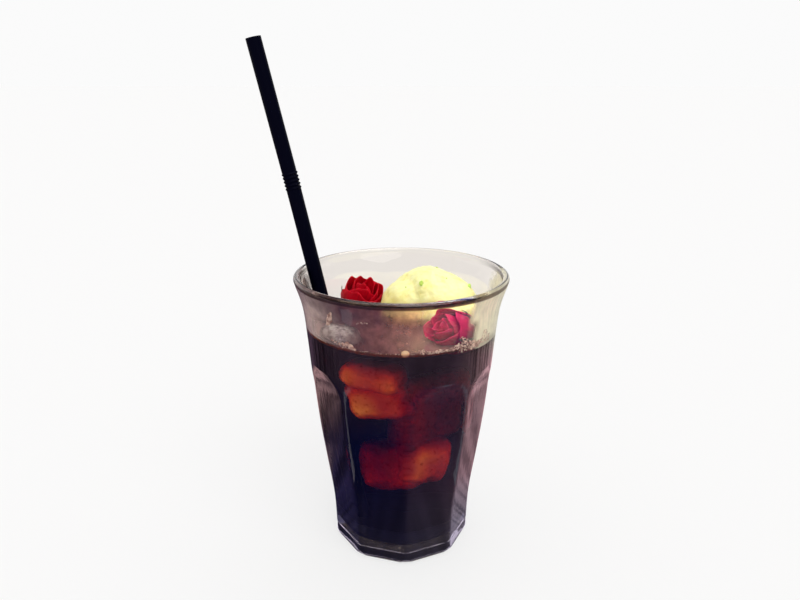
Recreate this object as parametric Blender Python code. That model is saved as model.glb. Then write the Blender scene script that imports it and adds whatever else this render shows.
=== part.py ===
# Ice cream float: a nine-sided glass tumbler of dark drink and ice, with a scoop
# of vanilla, two red rosebuds and a bendy straw. Metres, +Z up. The origin is the
# middle of the glass's foot, and the glass is seen from -Y.

import math

import bmesh
import bpy
from mathutils import Euler, Matrix, Vector

# Driving dimensions of the glass.
SIDES = 9                    # flat panels round the lower body
STEPS_PER_SIDE = 6           # facets of the turned surfaces for each panel
FIRST_CORNER = math.radians(3.55)  # turn of the front ridge from -Y towards +X
RIM_RADIUS = 0.0440          # widest part of the rim
RIM_HEIGHT = 0.1187          # height of the rim's widest part
RIM_BEAD = 0.0014            # half the rim's thickness
HEEL_ROUND = 0.0024          # rounding of the lower outer edge
BODY_START = 0.0100          # height from which the body is stepped evenly
FLOOR_HEIGHT = 0.0070        # thickness of the glass floor
FLOOR_ROUND = 0.0045         # rounding where the floor meets the wall
WALL_START = 0.0170          # height from which the inner wall is stepped evenly
ARCH_SPRING = 0.0730         # where the arched panel tops begin
ARCH_TOP = 0.0850            # crown of the arched panel tops
PANEL_DEPTH = 0.0004         # how far a plain turned body would stand proud of the ridges

CUTTER_REACH = 0.0600        # how far out a panel cutter runs
CUTTER_HALF = 0.0300         # half its width
CUTTER_SPARE = 0.0050        # how far it passes the foot and the arch

# Outer radius at the ridges, and inner radius, each as (height, radius).
OUTER_WALL = ((0.0024, 0.0298), (0.0200, 0.0306), (0.0400, 0.0334), (0.0560, 0.0356),
              (0.0760, 0.0377), (0.0940, 0.0392), (0.1080, 0.0408), (0.1187, 0.0440))
INNER_WALL = ((0.0120, 0.0263), (0.0400, 0.0296), (0.0730, 0.0336), (0.0970, 0.0370),
              (0.1100, 0.0389), (0.1187, 0.0416))

# What the glass holds.
GAP = 0.0003                 # clearance kept between pieces that touch
DRINK_LEVEL = 0.0970
SCOOP_PLACE = (0.0141, 0.0132, 0.1030)
SCOOP_LONG = 0.0225          # half its length along the wall
SCOOP_DEEP = 0.0160          # half its depth towards the wall
SCOOP_ABOVE = 0.0143         # height of its dome over its widest level
SCOOP_BELOW = 0.0090         # how far its flatter underside reaches below that level
SCOOP_TURN = math.radians(-47)
SCOOP_FACETS = 40
SCOOP_SWELL = 0.0005         # height of its two slow swells
LOBE_WAY = (-0.95, -0.28, -0.02)   # where the lobe rolled off the spoon lies
LOBE_RISE = 0.0055
LOBE_WIDTH = 0.48            # spread of the lobe, as a distance on a unit ball
FOLD_DEPTH = 0.0011          # crease round the lobe
FOLD_REACH = 0.74            # how far the crease lies from the lobe's middle
FOLD_WIDTH = 0.12
SPOON_RIPPLE = 0.0003        # height of the fine ridges on the lobe
ICE_SIZE = 0.0178
ICE_ROUND = 0.0030
ICE_TAPER = 0.92             # how much narrower the block is at its top
CORNER_SPARE = 1.6           # a clearance is this much larger along a block's diagonal
ICE_PLACE = (-0.0205, -0.0135, 0.0958)
ICE_TURN = (0.42, 0.30, -0.80)
STRAW_RADIUS = 0.0030
STRAW_BORE = 0.0026
STRAW_RIB = 0.0003           # how far the ribs of the bend stand out
STRAW_RIBS = 5
STRAW_Y = 0.0072
STRAW_BEND = (-0.0443, 0.1560)     # x and z of the middle of the ribbed bend
STRAW_BEND_LENGTH = 0.0075
STRAW_LOWER_LEAN = math.radians(11.9)
STRAW_UPPER_LEAN = math.radians(12.5)
STRAW_UPPER_LENGTH = 0.0555
STRAW_FOOT = 0.0082          # height of the middle of the straw's lower end
STRAW_SEAT = 0.100           # length of the straw's seat in the drink
STRAW_SIDES = 14

# The rosebuds, as place, direction that the open end faces, size and turn.
ROSE_BACK = {"place": (-0.0174, 0.0205, 0.1023), "faces": (0.30, -0.25, 0.91),
             "radius": 0.0092, "height": 0.0178, "turn": -2.00}
ROSE_FRONT = {"place": (0.0199, -0.0166, 0.1020), "faces": (-0.72, -0.52, 0.48),
              "radius": 0.0087, "height": 0.0192, "turn": -0.20}
PETAL_THICK = 0.0006
SEPALS = 4
SEPAL_TURN = 0.5             # turn from the first petal to the first sepal
SEPAL_HALF = 0.24            # half the angle that a sepal spans at its foot
SEPAL_TIP = 0.03
CIRCLE_TURN = 2.32           # turn from one circle of petals to the next
PETAL_FOOT = 0.30            # a petal's radius at its foot, as a share of its reach
PETAL_WAVE = 0.05            # unevenness of the petals, as a share of the bud's radius
PETAL_DROP = 0.20            # how far a petal's corners lie below its tip
HEART_WIDTH = 0.62           # radius of the bud's solid middle, as a share of the bud's
HEART_TAPER = 0.34           # how much that radius shrinks towards the top
# Two tight inner petals, three round them and four outer ones that open. Reach, curl
# and tuck are shares of the bud's radius, tall is a share of its height, and half is
# half the angle that a petal spans.
PETAL_CIRCLES = (
    {"count": 2, "reach": 0.38, "half": 1.60, "tall": 1.02, "curl": 0.00, "tuck": 0.10},
    {"count": 3, "reach": 0.64, "half": 1.25, "tall": 1.00, "curl": 0.02, "tuck": 0.09},
    {"count": 4, "reach": 0.92, "half": 1.05, "tall": 0.88, "curl": 0.10, "tuck": 0.08},
)


def clear_scene():
    for old in list(bpy.data.objects):
        bpy.data.objects.remove(old, do_unlink=True)


def make_material(name, colour, roughness, metallic=0.0, transmission=0.0, ior=1.45):
    material = bpy.data.materials.new(name)
    material.use_nodes = True
    shader = material.node_tree.nodes["Principled BSDF"]
    shader.inputs["Base Color"].default_value = (*colour, 1.0)
    shader.inputs["Roughness"].default_value = roughness
    shader.inputs["Metallic"].default_value = metallic
    shader.inputs["Transmission Weight"].default_value = transmission
    shader.inputs["IOR"].default_value = ior
    material.diffuse_color = (*colour, 1.0)
    return material


def add_object(name, bm, material=None):
    # Turns a finished bmesh into an object, shaded smooth but for its real edges.
    mesh = bpy.data.meshes.new(name)
    bm.to_mesh(mesh)
    bm.free()
    mesh.shade_smooth()
    mesh.set_sharp_from_angle(angle=math.radians(32))
    thing = bpy.data.objects.new(name, mesh)
    bpy.context.scene.collection.objects.link(thing)
    if material:
        mesh.materials.append(material)
    return thing


def hide_tool(thing):
    # A cutter or a fused piece is a tool, not a part of the object.
    thing.hide_render = True
    thing.display_type = "WIRE"


def bake_modifiers(thing):
    # Replaces an object's mesh by the one that its modifiers give.
    graph = bpy.context.evaluated_depsgraph_get()
    mesh = bpy.data.meshes.new_from_object(thing.evaluated_get(graph))
    old = thing.data
    thing.modifiers.clear()
    thing.data = mesh
    bpy.data.meshes.remove(old)
    mesh.shade_smooth()
    mesh.set_sharp_from_angle(angle=math.radians(32))


def join_or_cut(thing, tools, operation):
    # One Boolean takes a whole collection of tools, which is then cleared away.
    group = bpy.data.collections.new(thing.name + " tools")
    bpy.context.scene.collection.children.link(group)
    for tool in tools:
        bpy.context.scene.collection.objects.unlink(tool)
        group.objects.link(tool)
        hide_tool(tool)
    boolean = thing.modifiers.new(operation.lower(), "BOOLEAN")
    boolean.operation = operation
    boolean.solver = "EXACT"
    boolean.operand_type = "COLLECTION"
    boolean.collection = group
    bpy.context.view_layer.update()
    bake_modifiers(thing)
    for tool in tools:
        bpy.data.objects.remove(tool, do_unlink=True)
    bpy.data.collections.remove(group)


def radius_at(knots, z):
    # Smooth curve through the knots, whose slope at each is taken from its neighbours.
    last = len(knots) - 1
    below = sum(1 for height, _ in knots[:-1] if height <= z) - 1
    i = min(max(below, 0), last - 1)

    def slope(j):
        (z0, r0), (z1, r1) = knots[max(j - 1, 0)], knots[min(j + 1, last)]
        return (r1 - r0) / (z1 - z0)

    (z0, r0), (z1, r1) = knots[i], knots[i + 1]
    span = z1 - z0
    t = (z - z0) / span
    if t < 0:
        return r0 + slope(0) * (z - z0)
    return (r0 * (1 + 2 * t) * (1 - t) ** 2 + r1 * t * t * (3 - 2 * t)
            + span * t * (1 - t) * (slope(i) * (1 - t) - slope(i + 1) * t))


def ridge_radius(z):
    # Outer radius at the ridges, with the lower edge rounded off.
    if z >= HEEL_ROUND:
        return radius_at(OUTER_WALL, z)
    drop = HEEL_ROUND - max(z, 0.0)
    top = OUTER_WALL[0][1]
    return top - HEEL_ROUND + math.sqrt(HEEL_ROUND ** 2 - drop ** 2)


def turned(name, profile, material=None, steps=SIDES * STEPS_PER_SIDE):
    # Spins a profile of (radius, height) that starts and ends on the axis.
    bm = bmesh.new()
    start = Matrix.Rotation(FIRST_CORNER - math.pi / 2, 3, "Z")
    points = [bm.verts.new(start @ Vector((r, 0, z))) for r, z in profile]
    edges = [bm.edges.new(pair) for pair in zip(points, points[1:])]
    bmesh.ops.spin(bm, geom=points + edges, cent=(0, 0, 0), axis=(0, 0, 1),
                   angle=math.tau, steps=steps, use_merge=True)
    bmesh.ops.remove_doubles(bm, verts=bm.verts, dist=0.000001)
    bmesh.ops.recalc_face_normals(bm, faces=bm.faces)
    return add_object(name, bm, material)


def heights(low, high, count):
    return [low + (high - low) * i / count for i in range(count + 1)]


def arc(centre, radius, start, end, count):
    # Points of (radius, height) on an arc, its angles in degrees from the +radius side.
    turn = [math.radians(start + (end - start) * i / count) for i in range(count + 1)]
    return [(centre[0] + radius * math.cos(a), centre[1] + radius * math.sin(a)) for a in turn]


def inner_wall_profile(gap, top):
    # From the middle of the floor out and up the inside of the wall.
    floor = FLOOR_HEIGHT + gap
    corner_z = floor + FLOOR_ROUND
    corner_r = radius_at(INNER_WALL, corner_z) - gap
    profile = [(0.0, floor), (corner_r * 0.45, floor)]
    profile += arc((corner_r - FLOOR_ROUND, corner_z), FLOOR_ROUND, -90, -6, 4)
    for z in heights(WALL_START, top, 9):
        profile.append((radius_at(INNER_WALL, z) - gap, z))
    return profile


def panel_cutter(index):
    # Block that shaves one flat panel, arched at its top, off the turned body.
    def reach(z):
        if z <= ARCH_SPRING:
            half = math.pi / SIDES
        else:
            rise = (z - ARCH_SPRING) / (ARCH_TOP - ARCH_SPRING)
            half = math.pi / SIDES * math.sqrt(max(0.0, 1 - rise * rise))
        return ridge_radius(z) * math.cos(half)

    heel = [HEEL_ROUND * (1 - math.cos(math.radians(a))) for a in (0, 30, 60, 90)]
    body = heights(BODY_START, ARCH_SPRING, 7)
    arch = [ARCH_SPRING + (ARCH_TOP - ARCH_SPRING) * math.sin(math.radians(a))
            for a in (15, 30, 45, 60, 75, 90)]
    line = [(reach(0.0), -CUTTER_SPARE)] + [(reach(z), z) for z in heel + body + arch]
    line += [(CUTTER_REACH, ARCH_TOP + CUTTER_SPARE), (CUTTER_REACH, -CUTTER_SPARE)]
    bm = bmesh.new()
    side = [bm.verts.new((r, -CUTTER_HALF, z)) for r, z in line]
    face = bm.faces.new(side)
    grown = bmesh.ops.extrude_face_region(bm, geom=[face])
    moved = [v for v in grown["geom"] if isinstance(v, bmesh.types.BMVert)]
    bmesh.ops.translate(bm, verts=moved, vec=(0, 2 * CUTTER_HALF, 0))
    bmesh.ops.recalc_face_normals(bm, faces=bm.faces)
    middle = FIRST_CORNER - math.pi / 2 + (index + 0.5) * math.tau / SIDES
    bmesh.ops.rotate(bm, verts=bm.verts, cent=(0, 0, 0),
                     matrix=Matrix.Rotation(middle, 3, "Z"))
    return add_object("panel cutter", bm)


def make_tumbler(material):
    # Turned inside and out, then shaved to nine arched panels.
    def body_radius(z):
        proud = PANEL_DEPTH * min(1.0, max(0.0, (ARCH_SPRING - z) / 0.010))
        return radius_at(OUTER_WALL, z) + proud

    foot = radius_at(OUTER_WALL, 0.0) + PANEL_DEPTH
    profile = [(0.0, 0.0), (foot, 0.0)]
    profile += [(body_radius(z), z) for z in heights(BODY_START, RIM_HEIGHT - 0.0025, 12)]
    bead = (RIM_RADIUS - RIM_BEAD, RIM_HEIGHT)
    profile += arc(bead, RIM_BEAD, -15, 200, 8)
    profile += reversed(inner_wall_profile(0.0, RIM_HEIGHT - 0.004))
    tumbler = turned("tumbler", profile, material)
    join_or_cut(tumbler, [panel_cutter(i) for i in range(SIDES)], "DIFFERENCE")
    return tumbler


def scoop_shape(grow):
    # A pressed ball of ice cream, domed above and flatter below, with a lobe that
    # rolled off the spoon at its left and the ridges that the spoon leaves.
    bm = bmesh.new()
    bmesh.ops.create_uvsphere(bm, u_segments=SCOOP_FACETS, v_segments=SCOOP_FACETS // 2,
                              radius=1.0)
    lobe_way = Vector(LOBE_WAY).normalized()
    turn_back = Matrix.Rotation(-SCOOP_TURN, 3, "Z")
    for v in bm.verts:
        way = v.co.normalized()
        along = turn_back @ way
        tall = SCOOP_ABOVE if way.z > 0 else SCOOP_BELOW
        radius = 1 / math.sqrt((along.x / SCOOP_LONG) ** 2 + (along.y / SCOOP_DEEP) ** 2
                               + (along.z / tall) ** 2)
        lobe = (way - lobe_way).length
        radius += LOBE_RISE * math.exp(-(lobe / LOBE_WIDTH) ** 2)
        fold = math.exp(-((lobe - FOLD_REACH) / FOLD_WIDTH) ** 2)
        radius -= FOLD_DEPTH * fold * (0.4 + max(0.0, way.z))
        radius += SCOOP_SWELL * math.sin(5 * way.x + 2.2 * way.z + 0.6)
        radius += SCOOP_SWELL * 0.8 * math.sin(7 * way.y - 4 * way.z + 1.1)
        radius += SPOON_RIPPLE * math.sin(19 * lobe) * max(0.0, 1 - lobe)
        v.co = way * (radius + grow)
    bmesh.ops.translate(bm, verts=bm.verts, vec=SCOOP_PLACE)
    return bm


def ice_shape(grow):
    # A block from a tray: a tapered cube with rounded edges.
    bm = bmesh.new()
    bmesh.ops.create_cube(bm, size=ICE_SIZE)
    for v in bm.verts:
        if v.co.z > 0:
            v.co.xy *= ICE_TAPER
    bmesh.ops.bevel(bm, geom=bm.edges[:] + bm.verts[:], offset=ICE_ROUND, segments=3,
                    profile=0.5, affect="EDGES")
    for v in bm.verts:
        v.co += v.co.normalized() * grow * CORNER_SPARE
    bmesh.ops.rotate(bm, verts=bm.verts, cent=(0, 0, 0), matrix=Euler(ICE_TURN).to_matrix())
    bmesh.ops.translate(bm, verts=bm.verts, vec=ICE_PLACE)
    return bm



def straw_path():
    # Middle line of the straw from its foot to its open top, as (x, z) and lean.
    bend_x, bend_z = STRAW_BEND
    half = STRAW_BEND_LENGTH / 2

    def below(length):
        return (bend_x + length * math.sin(STRAW_LOWER_LEAN),
                bend_z - length * math.cos(STRAW_LOWER_LEAN), STRAW_LOWER_LEAN)

    def above(length):
        return (bend_x - length * math.sin(STRAW_UPPER_LEAN),
                bend_z + length * math.cos(STRAW_UPPER_LEAN), STRAW_UPPER_LEAN)

    full = (bend_z - STRAW_FOOT) / math.cos(STRAW_LOWER_LEAN)
    return below, above, half, full


def straw_shape(grow, reach=None):
    # A thin tube open at both ends, with ribs at its bend. Its seat in the drink is a
    # straight stretch of it, as long as the reach, with a wall thicker by the clearance.
    below, above, half, full = straw_path()
    outer = [(below(full + grow), 0.0), (below(half), 0.0)]
    for i in range(2 * STRAW_RIBS + 1):
        along = half - 2 * half * (i + 1) / (2 * STRAW_RIBS + 2)
        rib = STRAW_RIB if i % 2 == 0 else -STRAW_RIB / 2
        outer.append((below(along) if along > 0 else above(-along), rib))
    outer += [(above(half), 0.0), (above(STRAW_UPPER_LENGTH + grow), 0.0)]
    inner = [outer[-1], outer[len(outer) // 2], outer[0]]
    if reach:
        outer = [outer[0], (below(full - reach), 0.0)]
        inner = [outer[1], outer[0]]
    bm = bmesh.new()

    def ring(stop, radius):
        x, z, lean = stop
        across = Vector((math.cos(lean), 0, math.sin(lean)))
        middle = Vector((x, STRAW_Y, z))
        turns = [math.tau * i / STRAW_SIDES for i in range(STRAW_SIDES)]
        return [bm.verts.new(middle + across * radius * math.cos(a)
                             + Vector((0, radius * math.sin(a), 0))) for a in turns]

    rings = [ring(stop, STRAW_RADIUS + rib + grow) for stop, rib in outer]
    rings += [ring(stop, STRAW_BORE - grow) for stop, _ in inner]
    for low, high in zip(rings, rings[1:] + rings[:1]):
        for i in range(STRAW_SIDES):
            j = (i + 1) % STRAW_SIDES
            bm.faces.new((low[i], low[j], high[j], high[i]))
    bmesh.ops.recalc_face_normals(bm, faces=bm.faces)
    return bm


def petal_point(petal, across, up, rose):
    # A point on a petal: across from -1 to 1, up from 0 at its base to 1 at its tip.
    turn = petal["angle"] + across * petal["half"]
    cup = math.sin(0.75 * math.pi * (0.12 + 0.78 * up))
    share = petal["reach"] * (PETAL_FOOT + (1 - PETAL_FOOT) * cup)
    share += petal["curl"] * up ** 4 * (1 - 0.4 * across * across)
    share += PETAL_WAVE * math.sin(3 * turn + 5 * up)
    share -= petal["tuck"] * across
    radius = rose["radius"] * share
    top = petal["tall"] * (1 - PETAL_DROP * across * across - 0.05 * abs(across))
    z = rose["height"] * (top * up - 0.03)
    return Vector((radius * math.cos(turn), radius * math.sin(turn), z))


def rose_petals(rose):
    # The bud's petals, circle by circle, each circle turned on from the one inside it.
    petals = []
    for number, circle in enumerate(PETAL_CIRCLES):
        for i in range(circle["count"]):
            angle = rose["turn"] + CIRCLE_TURN * number + math.tau * i / circle["count"]
            tall = circle["tall"] * (1 - 0.05 * (i % 2))
            petals.append({**circle, "angle": angle, "tall": tall})
    return petals


def rose_frame(rose):
    # Turns the bud's own upward axis to the way that it faces, and sets its place.
    turn = Vector((0, 0, 1)).rotation_difference(Vector(rose["faces"]).normalized())
    middle = Matrix.Translation((0, 0, -rose["height"] * 0.45))
    return Matrix.Translation(rose["place"]) @ turn.to_matrix().to_4x4() @ middle


def closed_sheet(name, columns, rows, place):
    # A thin sheet with both faces meshed alike. The place of each corner comes from how
    # far it lies across, -1 to 1, how far up, 0 to 1, and which face it is on.
    bm = bmesh.new()
    faces = []
    for side in (0, 1):
        faces.append([[bm.verts.new(place(2 * column / columns - 1, row / rows, side))
                       for column in range(columns + 1)] for row in range(rows + 1)])
    for row in range(rows):
        for column in range(columns):
            for face in faces:
                bm.faces.new((face[row][column], face[row][column + 1],
                              face[row + 1][column + 1], face[row + 1][column]))
    outer, inner = faces
    for row in range(rows):
        for column in (0, columns):
            bm.faces.new((outer[row][column], outer[row + 1][column],
                          inner[row + 1][column], inner[row][column]))
    for column in range(columns):
        for row in (0, rows):
            bm.faces.new((outer[row][column], outer[row][column + 1],
                          inner[row][column + 1], inner[row][column]))
    bmesh.ops.recalc_face_normals(bm, faces=bm.faces)
    bmesh.ops.triangulate(bm, faces=bm.faces)
    return add_object(name, bm)


def petal_object(petal, rose):
    # One cupped petal of even thickness.
    def place(across, up, side):
        point = petal_point(petal, across, up, rose)
        outward = Vector((point.x, point.y, 0)).normalized()
        return point - outward * PETAL_THICK * side

    return closed_sheet("petal", 4, 4, place)


def sepal_object(index, rose):
    # A narrow pointed leaf of the bud's green cup, standing off the petals.
    middle = rose["turn"] + SEPAL_TURN + math.tau * index / SEPALS

    def place(across, up, side):
        turn = middle + across * (SEPAL_HALF * (1 - up) + SEPAL_TIP)
        radius = rose["radius"] * (0.50 + 0.62 * math.sqrt(up)) - PETAL_THICK * side
        z = rose["height"] * (0.02 + 0.62 * up)
        return Vector((radius * math.cos(turn), radius * math.sin(turn), z))

    return closed_sheet("sepal", 2, 4, place)


def bud_heart(name, rose, material):
    # The solid middle of the bud, which carries every petal, widest a little over halfway.
    bm = bmesh.new()
    bmesh.ops.create_uvsphere(bm, u_segments=14, v_segments=7, radius=1.0)
    tall = rose["height"] * 0.42
    for v in bm.verts:
        wide = rose["radius"] * (HEART_WIDTH - HEART_TAPER * max(0.0, v.co.z - 0.2))
        v.co = Vector((v.co.x * wide, v.co.y * wide, tall * (v.co.z + 0.92)))
    return add_object(name, bm, material)


def make_rose(name, rose, material):
    bud = bud_heart(name, rose, material)
    pieces = [petal_object(petal, rose) for petal in rose_petals(rose)]
    pieces += [sepal_object(i, rose) for i in range(SEPALS)]
    join_or_cut(bud, pieces, "UNION")
    bud.data.transform(rose_frame(rose))
    drop_scraps(bud)
    return bud


def drop_scraps(thing):
    # Keeps the largest shell alone, which also fills any hollow that the union sealed.
    bm = bmesh.new()
    bm.from_mesh(thing.data)
    left = set(bm.verts)
    shells = []
    while left:
        shell = set()
        todo = [left.pop()]
        while todo:
            v = todo.pop()
            shell.add(v)
            for edge in v.link_edges:
                other = edge.other_vert(v)
                if other in left:
                    left.remove(other)
                    todo.append(other)
        shells.append(shell)
    shells.sort(key=len, reverse=True)
    for shell in shells[1:]:
        bmesh.ops.delete(bm, geom=list(shell), context="VERTS")
    bm.to_mesh(thing.data)
    bm.free()


def seat_of(thing):
    # Rounded hollow that a floating bud presses into the drink.
    bm = bmesh.new()
    for v in thing.data.vertices:
        bm.verts.new(v.co)
    bmesh.ops.convex_hull(bm, input=bm.verts)
    bmesh.ops.delete(bm, geom=[v for v in bm.verts if not v.link_faces], context="VERTS")
    middle = sum((v.co for v in bm.verts), Vector()) / len(bm.verts)
    for v in bm.verts:
        v.co += (v.co - middle).normalized() * GAP * 1.5
    bmesh.ops.recalc_face_normals(bm, faces=bm.faces)
    return add_object("bud seat", bm)


def make_drink(material, buds):
    # Fills the glass to its level, round the straw, the ice, the scoop and the buds.
    profile = inner_wall_profile(GAP, DRINK_LEVEL)
    profile += [(profile[-1][0] * 0.5, DRINK_LEVEL), (0.0, DRINK_LEVEL)]
    drink = turned("drink", profile, material)
    cutters = [add_object("scoop seat", scoop_shape(1.5 * GAP)),
               add_object("ice seat", ice_shape(GAP)),
               add_object("straw seat", straw_shape(GAP, reach=STRAW_SEAT))]
    cutters += [seat_of(bud) for bud in buds]
    join_or_cut(drink, cutters, "DIFFERENCE")
    return drink


def main():
    clear_scene()
    glass = make_material("clear glass", (0.96, 0.95, 0.94), 0.02, transmission=1.0, ior=1.5)
    dark = make_material("dark drink", (0.022, 0.006, 0.010), 0.03, ior=1.34)
    vanilla = make_material("vanilla ice cream", (0.90, 0.84, 0.36), 0.55)
    rose = make_material("rose petal", (0.52, 0.004, 0.012), 0.45)
    black = make_material("black straw", (0.006, 0.006, 0.012), 0.30)
    ice = make_material("clear ice", (0.90, 0.86, 0.82), 0.05, transmission=1.0, ior=1.31)
    make_tumbler(glass)
    add_object("ice_cream", scoop_shape(0.0), vanilla)
    add_object("ice_left", ice_shape(0.0), ice)
    add_object("straw", straw_shape(0.0), black)
    buds = [make_rose("rose_back", ROSE_BACK, rose), make_rose("rose_front", ROSE_FRONT, rose)]
    make_drink(dark, buds)


main()
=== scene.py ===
import math
import random

import bpy
import numpy as np
from mathutils import Matrix, Vector, noise


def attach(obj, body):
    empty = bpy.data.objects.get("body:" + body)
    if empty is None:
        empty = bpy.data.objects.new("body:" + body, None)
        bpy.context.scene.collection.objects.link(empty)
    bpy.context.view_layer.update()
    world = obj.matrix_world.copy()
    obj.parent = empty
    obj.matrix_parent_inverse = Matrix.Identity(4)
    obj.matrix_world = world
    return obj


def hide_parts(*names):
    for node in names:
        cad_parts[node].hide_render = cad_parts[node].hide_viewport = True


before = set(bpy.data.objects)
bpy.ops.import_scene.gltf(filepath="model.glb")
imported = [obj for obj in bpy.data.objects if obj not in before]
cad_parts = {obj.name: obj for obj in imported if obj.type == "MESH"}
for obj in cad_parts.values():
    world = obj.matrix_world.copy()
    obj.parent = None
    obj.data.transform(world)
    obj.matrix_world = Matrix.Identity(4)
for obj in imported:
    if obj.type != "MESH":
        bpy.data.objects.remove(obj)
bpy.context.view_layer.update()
print("loaded the frame:", ", ".join(sorted(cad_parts)))


# small helpers


def clearSelection():
    active = bpy.context.view_layer.objects.active
    if active and active.mode != "OBJECT":
        bpy.ops.object.mode_set(mode="OBJECT")
    bpy.ops.object.select_all(action="DESELECT")


def selectOnly(piece):
    clearSelection()
    piece.select_set(True)
    bpy.context.view_layer.objects.active = piece


def placeInMesh(piece):
    # the object goes back to the origin and its place goes into its mesh
    selectOnly(piece)
    bpy.ops.object.transform_apply(location=True, rotation=True, scale=True)


def applyModifiers(piece):
    selectOnly(piece)
    for modifier in list(piece.modifiers):
        bpy.ops.object.modifier_apply(modifier=modifier.name)


def turnOut(piece, merge=0.000002):
    # seams are closed and every face points outwards
    selectOnly(piece)
    bpy.ops.object.mode_set(mode="EDIT")
    bpy.ops.mesh.select_all(action="SELECT")
    bpy.ops.mesh.remove_doubles(threshold=merge)
    bpy.ops.mesh.normals_make_consistent(inside=False)
    bpy.ops.object.mode_set(mode="OBJECT")


def smooth(piece, angle=None):
    selectOnly(piece)
    if angle is None:
        bpy.ops.object.shade_smooth()
    else:
        bpy.ops.object.shade_smooth_by_angle(angle=math.radians(angle))


def joinAll(pieces, name):
    clearSelection()
    for piece in pieces:
        piece.select_set(True)
    bpy.context.view_layer.objects.active = pieces[0]
    bpy.ops.object.join()
    joined = bpy.context.view_layer.objects.active
    joined.name = name
    joined.data.name = name
    return joined


def readPoints(piece):
    points = np.zeros(len(piece.data.vertices) * 3)
    piece.data.vertices.foreach_get("co", points)
    return points.reshape(-1, 3)


def writePoints(piece, points):
    piece.data.vertices.foreach_set("co", np.asarray(points, float).ravel())
    piece.data.update()


def movePoints(piece, move):
    writePoints(piece, [move(Vector(point)) for point in readPoints(piece)])


def spinOutline(name, outline, turns):
    # an outline of (radius, height) is spun round the upright axis
    mesh = bpy.data.meshes.new(name)
    mesh.from_pydata([(r, 0.0, z) for r, z in outline],
                     [(i, i + 1) for i in range(len(outline) - 1)], [])
    piece = bpy.data.objects.new(name, mesh)
    bpy.context.scene.collection.objects.link(piece)
    selectOnly(piece)
    bpy.ops.object.mode_set(mode="EDIT")
    bpy.ops.mesh.select_all(action="SELECT")
    bpy.ops.mesh.spin(steps=turns, angle=math.tau, center=(0, 0, 0), axis=(0, 0, 1))
    bpy.ops.object.mode_set(mode="OBJECT")
    turnOut(piece)
    return piece


def curveThrough(knots, z):
    # smooth curve through (height, radius) knots
    last = len(knots) - 1
    i = min(max(sum(1 for height, _ in knots[:-1] if height <= z) - 1, 0), last - 1)

    def slope(j):
        (z0, r0), (z1, r1) = knots[max(j - 1, 0)], knots[min(j + 1, last)]
        return (r1 - r0) / (z1 - z0)

    (z0, r0), (z1, r1) = knots[i], knots[i + 1]
    t = (z - z0) / (z1 - z0)
    if t < 0:
        return r0 + slope(0) * (z - z0)
    return (r0 * (1 + 2 * t) * (1 - t) ** 2 + r1 * t * t * (3 - 2 * t)
            + (z1 - z0) * t * (1 - t) * (slope(i) * (1 - t) - slope(i + 1) * t))


def steps(low, high, count):
    return [low + (high - low) * i / count for i in range(count + 1)]


def arc(middle, radius, start, end, count):
    turns = [math.radians(a) for a in steps(start, end, count)]
    return [(middle[0] + radius * math.cos(a), middle[1] + radius * math.sin(a)) for a in turns]


# nodes and materials


def nodeOf(tree, kind, **values):
    node = tree.nodes.new(kind)
    for key, value in values.items():
        setattr(node, key, value)
    return node


def feed(tree, source, socket):
    # source is a socket, a colour or a plain number
    if isinstance(source, tuple):
        socket.default_value = (*source, 1)
    elif isinstance(source, (int, float)):
        socket.default_value = source
    else:
        tree.links.new(source, socket)


def sums(tree, operation, first, second):
    # one operation on two sockets or numbers
    node = nodeOf(tree, "ShaderNodeMath", operation=operation)
    feed(tree, first, node.inputs[0])
    feed(tree, second, node.inputs[1])
    return node.outputs[0]


def newMaterial(name, colour, roughness, **plain):
    material = bpy.data.materials.new(name)
    material.use_nodes = True
    shader = material.node_tree.nodes["Principled BSDF"]
    shader.inputs["Base Color"].default_value = (*colour, 1)
    shader.inputs["Roughness"].default_value = roughness
    for key, value in plain.items():
        shader.inputs[key.replace("_", " ")].default_value = value
    return material, material.node_tree, shader


def objectPlace(tree):
    return nodeOf(tree, "ShaderNodeTexCoord").outputs["Object"]


def splitUp(tree, source):
    split = nodeOf(tree, "ShaderNodeSeparateXYZ")
    tree.links.new(source, split.inputs[0])
    return split.outputs


def noiseOn(tree, source, scale, detail=4.0, roughness=0.55, stretch=None):
    if stretch:
        mapping = nodeOf(tree, "ShaderNodeMapping")
        mapping.inputs["Scale"].default_value = stretch
        tree.links.new(source, mapping.inputs["Vector"])
        source = mapping.outputs[0]
    texture = nodeOf(tree, "ShaderNodeTexNoise")
    for key, value in (("Scale", scale), ("Detail", detail), ("Roughness", roughness)):
        texture.inputs[key].default_value = value
    tree.links.new(source, texture.inputs["Vector"])
    return texture.outputs["Fac"]


def objectNoise(tree, *grain, **more):
    return noiseOn(tree, objectPlace(tree), *grain, **more)


def sheetPlace(tree):
    return nodeOf(tree, "ShaderNodeUVMap").outputs[0]


def addBump(tree, shader, height, strength, distance, after=None):
    bump = nodeOf(tree, "ShaderNodeBump")
    bump.inputs["Strength"].default_value = strength
    bump.inputs["Distance"].default_value = distance
    tree.links.new(height, bump.inputs["Height"])
    if after:
        tree.links.new(after.outputs[0], bump.inputs["Normal"])
    tree.links.new(bump.outputs[0], shader.inputs["Normal"])
    return bump


def ramp(tree, value, stops):
    # each stop is a place and its colour, or its grey as one number
    node = nodeOf(tree, "ShaderNodeValToRGB")
    marks = node.color_ramp.elements
    marks.remove(marks[1])
    marks[0].position = stops[0][0]
    for i, (place, colour) in enumerate(stops):
        mark = marks.new(place) if i else marks[0]
        mark.color = (*colour, 1) if isinstance(colour, tuple) else (colour, colour, colour, 1)
    tree.links.new(value, node.inputs[0])
    return node.outputs["Color"]


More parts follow.
